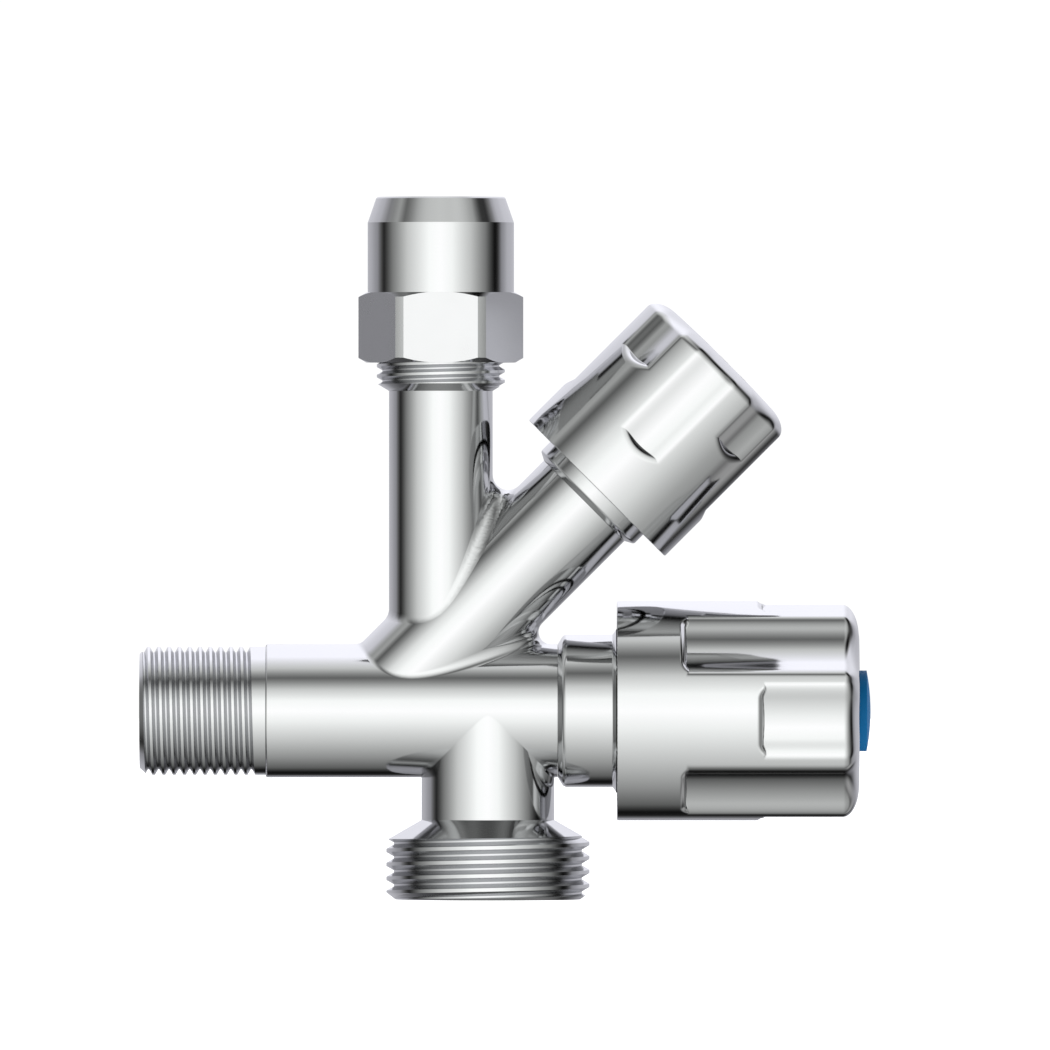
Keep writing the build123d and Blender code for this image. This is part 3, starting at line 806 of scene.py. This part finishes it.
# ------------------------------------------------------------------ hidden pieces keep the solids
for name, ob in NODE.items():
    slot_name = record_slots.get(name)
    mat = SLOT_MAT.get(slot_name)
    if mat is None:
        low = name.lower()
        if "ring" in low and "o_ring" in low or "seal" in low or "washer" in low and "screw" not in low:
            mat = RUBBER
        elif "clip" in low or "screw" in low:
            mat = STEEL
        else:
            mat = BRASS
    ob.data.materials.clear()
    ob.data.materials.append(mat)

# ------------------------------------------------------------------ light
world = bpy.data.worlds.new("studio")
scene.world = world
world.use_nodes = True
nt = world.node_tree
nt.nodes.clear()
out = nt.nodes.new("ShaderNodeOutputWorld")
bg = nt.nodes.new("ShaderNodeBackground")
tc = nt.nodes.new("ShaderNodeTexCoord")
sep = nt.nodes.new("ShaderNodeSeparateXYZ")
nt.links.new(tc.outputs["Generated"], sep.inputs[0])


def math_node(op, a, b=None, clamp=False):
    n = nt.nodes.new("ShaderNodeMath")
    n.operation = op
    n.use_clamp = clamp
    for i, s in enumerate((a, b)):
        if s is None:
            continue
        if isinstance(s, (int, float)):
            n.inputs[i].default_value = s
        else:
            nt.links.new(s, n.inputs[i])
    return n.outputs[0]


def mix(fac, a, b):
    n = nt.nodes.new("ShaderNodeMix")
    n.data_type = "RGBA"
    nt.links.new(fac, n.inputs[0])
    for i, s in ((6, a), (7, b)):
        if isinstance(s, tuple):
            n.inputs[i].default_value = s
        else:
            nt.links.new(s, n.inputs[i])
    return n.outputs[2]


X, Y, Z = sep.outputs
back = math_node("DIVIDE", math_node("ARCCOSINE", math_node("MULTIPLY", Y, -1.0)), math.pi)
rho2 = math_node("MAXIMUM", math_node("ADD", math_node("MULTIPLY", X, X), math_node("MULTIPLY", Z, Z)), 1e-6)
rho = math_node("SQRT", rho2)
up = math_node("DIVIDE", Z, rho)
side = math_node("DIVIDE", X, rho)
w_up = math_node("POWER", math_node("MAXIMUM", up, 0.0), 2.0)
w_dn = math_node("POWER", math_node("MAXIMUM", math_node("MULTIPLY", up, -1.0), 0.0), 2.0)
is_right = math_node("GREATER_THAN", side, 0.0)
LAV = lambda g: (g * 0.965, g * 0.965, g * 1.0)
GRN = lambda g: (g * 0.992, g * 1.0, g * 0.994)
# overhead: white front card, a dark flag 60 degrees up, a large white ceiling behind it
sky = ramp(nt, back, [(0.0, 1.0), (0.10, GRN(0.97)), (0.21, GRN(0.775)), (0.33, GRN(0.37)),
                      (0.44, GRN(0.74)), (0.60, LAV(1.0)), (0.90, LAV(1.0)), (1.0, LAV(0.96))], "LINEAR")
# underneath: the table falls off to a dark edge behind
table = ramp(nt, back, [(0.0, 1.0), (0.10, GRN(0.94)), (0.30, GRN(0.75)), (0.49, GRN(0.555)),
                        (0.65, GRN(0.36)), (0.745, 0.09), (0.80, 0.13), (0.88, LAV(0.60)), (1.0, LAV(0.68))], "LINEAR")
# sides: white card in front, black flags square to the sides, pale grey room behind
right = ramp(nt, back, [(0.0, 1.0), (0.10, GRN(0.965)), (0.27, GRN(0.745)), (0.42, GRN(0.455)),
                        (0.53, 0.08), (0.56, 0.16), (0.62, LAV(0.52)), (0.72, LAV(0.68)), (1.0, LAV(0.78))], "LINEAR")
left = ramp(nt, back, [(0.0, 1.0), (0.10, GRN(0.985)), (0.30, GRN(0.765)), (0.46, GRN(0.46)),
                       (0.565, 0.15), (0.60, 0.29), (0.66, LAV(0.54)), (0.78, LAV(0.66)), (1.0, LAV(0.76))], "LINEAR")
flank = mix(is_right, left, right)
env = mix(w_dn, mix(w_up, flank, sky), table)
# the two diagonals that the sloping branch faces
upleft = ramp(nt, back, [(0.0, 1.0), (0.10, GRN(0.975)), (0.20, GRN(0.86)), (0.30, GRN(0.63)),
                         (0.395, GRN(0.335)), (0.455, GRN(0.60)), (0.51, GRN(0.56)), (0.60, LAV(0.78)),
                         (0.80, LAV(0.88)), (1.0, LAV(0.91))], "LINEAR")
downright = ramp(nt, back, [(0.0, 1.0), (0.20, GRN(0.845)), (0.40, GRN(0.62)), (0.49, GRN(0.56)),
                            (0.545, 0.42), (0.60, 0.55), (0.66, 0.57), (0.70, 0.47), (0.755, 0.19),
                            (0.80, LAV(0.38)), (0.87, LAV(0.54)), (1.0, LAV(0.70))], "LINEAR")
upright = ramp(nt, back, [(0.0, 1.0), (0.10, GRN(0.97)), (0.25, GRN(0.80)), (0.37, GRN(0.58)), (0.44, 0.10),
                          (0.49, 0.08), (0.53, 0.50), (0.58, LAV(0.86)), (0.80, LAV(0.90)), (1.0, LAV(0.90))], "LINEAR")
us = math_node("MULTIPLY", up, side)
w_dg = math_node("MULTIPLY", math_node("MULTIPLY", us, us), 4.0)
slope = mix(math_node("GREATER_THAN", us, 0.0), mix(is_right, upleft, downright), mix(is_right, flank, upright))
env = mix(math_node("POWER", w_dg, 1.5), env, slope)
gam = nt.nodes.new("ShaderNodeGamma")
gam.inputs["Gamma"].default_value = 2.2
nt.links.new(env, gam.inputs[0])
lp = nt.nodes.new("ShaderNodeLightPath")
# light that gets into corners of the metal by way of a second surface is weaker
inner = math_node("GREATER_THAN", lp.outputs["Ray Depth"], 2.5)
dim = nt.nodes.new("ShaderNodeMix")
dim.data_type = "RGBA"
dim.blend_type = "MULTIPLY"
nt.links.new(inner, dim.inputs[0])
nt.links.new(gam.outputs[0], dim.inputs[6])
dim.inputs[7].default_value = (0.50, 0.50, 0.50, 1.0)
seen = mix(lp.outputs["Is Camera Ray"], dim.outputs[2], (1.0, 1.0, 1.0, 1.0))
nt.links.new(seen, bg.inputs[0])
bg.inputs[1].default_value = 1.04
nt.links.new(bg.outputs[0], out.inputs[0])

scene.view_settings.view_transform = "Standard"
scene.view_settings.look = "None"
scene.view_settings.exposure = 0.0
scene.view_settings.gamma = 1.0

# ------------------------------------------------------------------ floor
me = bpy.data.meshes.new("floor")
F, zf = 4.0, -0.0262
me.from_pydata([(-F, -F, zf), (F, -F, zf), (F, F, zf), (-F, F, zf)], [], [(0, 1, 2, 3)])
floor = bpy.data.objects.new("floor", me)
scene.collection.objects.link(floor)
m, fnt, b = mat_new("pale_floor")
b.inputs["Base Color"].default_value = (0.9, 0.9, 0.9, 1)
b.inputs["Roughness"].default_value = 0.9
b.inputs["Specular IOR Level"].default_value = 0.0
b.inputs["Emission Color"].default_value = (1, 1, 1, 1)
b.inputs["Emission Strength"].default_value = 1.0
me.materials.append(m)
floor.visible_glossy = False
floor.visible_diffuse = True

# ------------------------------------------------------------------ camera
cam_data = bpy.data.cameras.new("camera")
cam = bpy.data.objects.new("camera", cam_data)
scene.collection.objects.link(cam)
DIST = 4.0
cam.location = (0.0337, -DIST, 0.02416)
cam.rotation_euler = (math.radians(90), 0, 0)
cam_data.sensor_width = 36.0
cam_data.lens = 36.0 * DIST / 0.1365
cam_data.clip_start = 0.05
cam_data.clip_end = 50.0
scene.camera = cam
